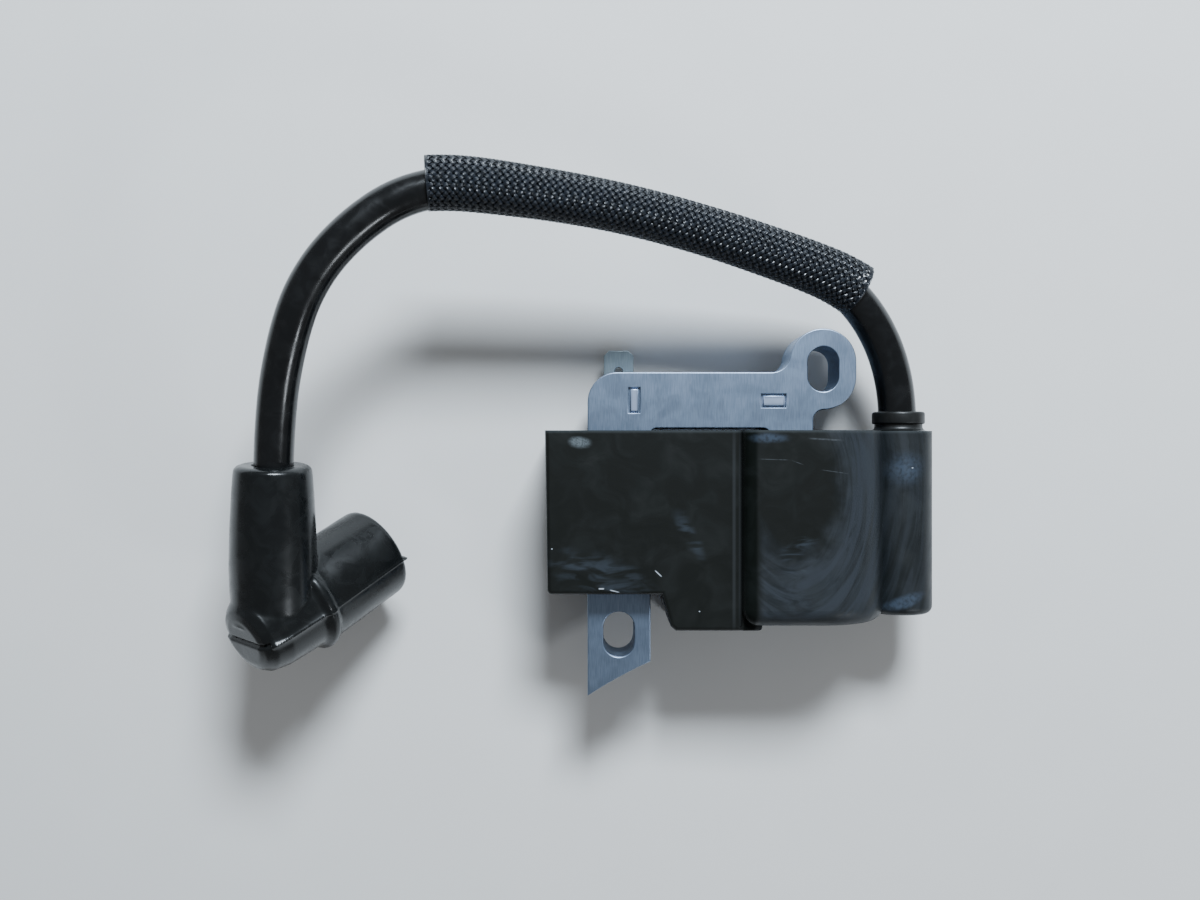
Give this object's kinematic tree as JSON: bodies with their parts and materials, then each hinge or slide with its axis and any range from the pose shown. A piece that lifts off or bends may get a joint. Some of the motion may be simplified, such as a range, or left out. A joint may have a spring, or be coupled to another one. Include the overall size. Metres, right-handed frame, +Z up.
{
  "type": "ignition coil",
  "caption": "Potted ignition module on a U-shaped laminated core, with a sleeved spark lead ending in an elbow rubber plug boot.",
  "frame": {"origin": "centre of the module's footprint on the surface it lies on, measured without the spark lead and its boot", "axes": "+X towards the tower that the lead leaves by, +Y out of the case's open potted end, +Z up out of the case's broad front face"},
  "size_m": [0.1302, 0.0973, 0.0359],
  "materials": {
    "case_plastic": "satin moulded, hazy from handling",
    "potting": "poured resin, glossy",
    "core_steel": "stamped electrical steel, rolled grain",
    "tab_metal": "tinned",
    "boot_rubber": "satin moulded rubber",
    "collar_rubber": "satin",
    "lead_insulation": "glossy extruded",
    "braid_fibre": "woven monofilament",
    "conductor_copper": "bare stranded copper",
    "bobbin_plastic": "moulded",
    "winding_copper": "enamelled wire",
    "board_laminate": "solder mask",
    "component_body": "moulded epoxy",
    "capacitor_body": "dipped epoxy",
    "resistor_body": "lacquered",
    "terminal_brass": "plain",
    "spring_steel": "bright drawn wire",
    "wire_insulation": "plain"
  },
  "bodies": {
    "module": {"case_shell": "case_plastic", "potting_resin": "potting", "core_laminations": "core_steel", "kill_switch_tab": "tab_metal", "lead_collar": "collar_rubber", "charge_coil_bobbin": "bobbin_plastic", "charge_coil_winding": "winding_copper", "trigger_coil_winding": "winding_copper", "primary_bobbin": "bobbin_plastic", "primary_winding": "winding_copper", "secondary_bobbin": "bobbin_plastic", "secondary_winding": "winding_copper", "circuit_board": "board_laminate", "ignition_capacitor": "capacitor_body", "thyristor": "component_body", "rectifier_diodes": "component_body", "resistors": "resistor_body", "ground_strap": "tab_metal", "kill_wire": "wire_insulation", "ht_terminal": "terminal_brass", "ht_link": "conductor_copper", "lead_jacket": "lead_insulation", "lead_conductor": "conductor_copper", "braided_sleeve": "braid_fibre"},
    "boot": {"spark_plug_boot": "boot_rubber", "contact_spring": "spring_steel", "lead_prong": "terminal_brass"}
  },
  "joints": [
    {"name": "boot_swivel", "type": "hinge", "parent": "module", "child": "boot", "pos_m": [-0.08454, 0.00884, 0.02667], "axis": [0.03, 0.991, 0.1301], "range_deg": [-90, 90]}
  ]
}
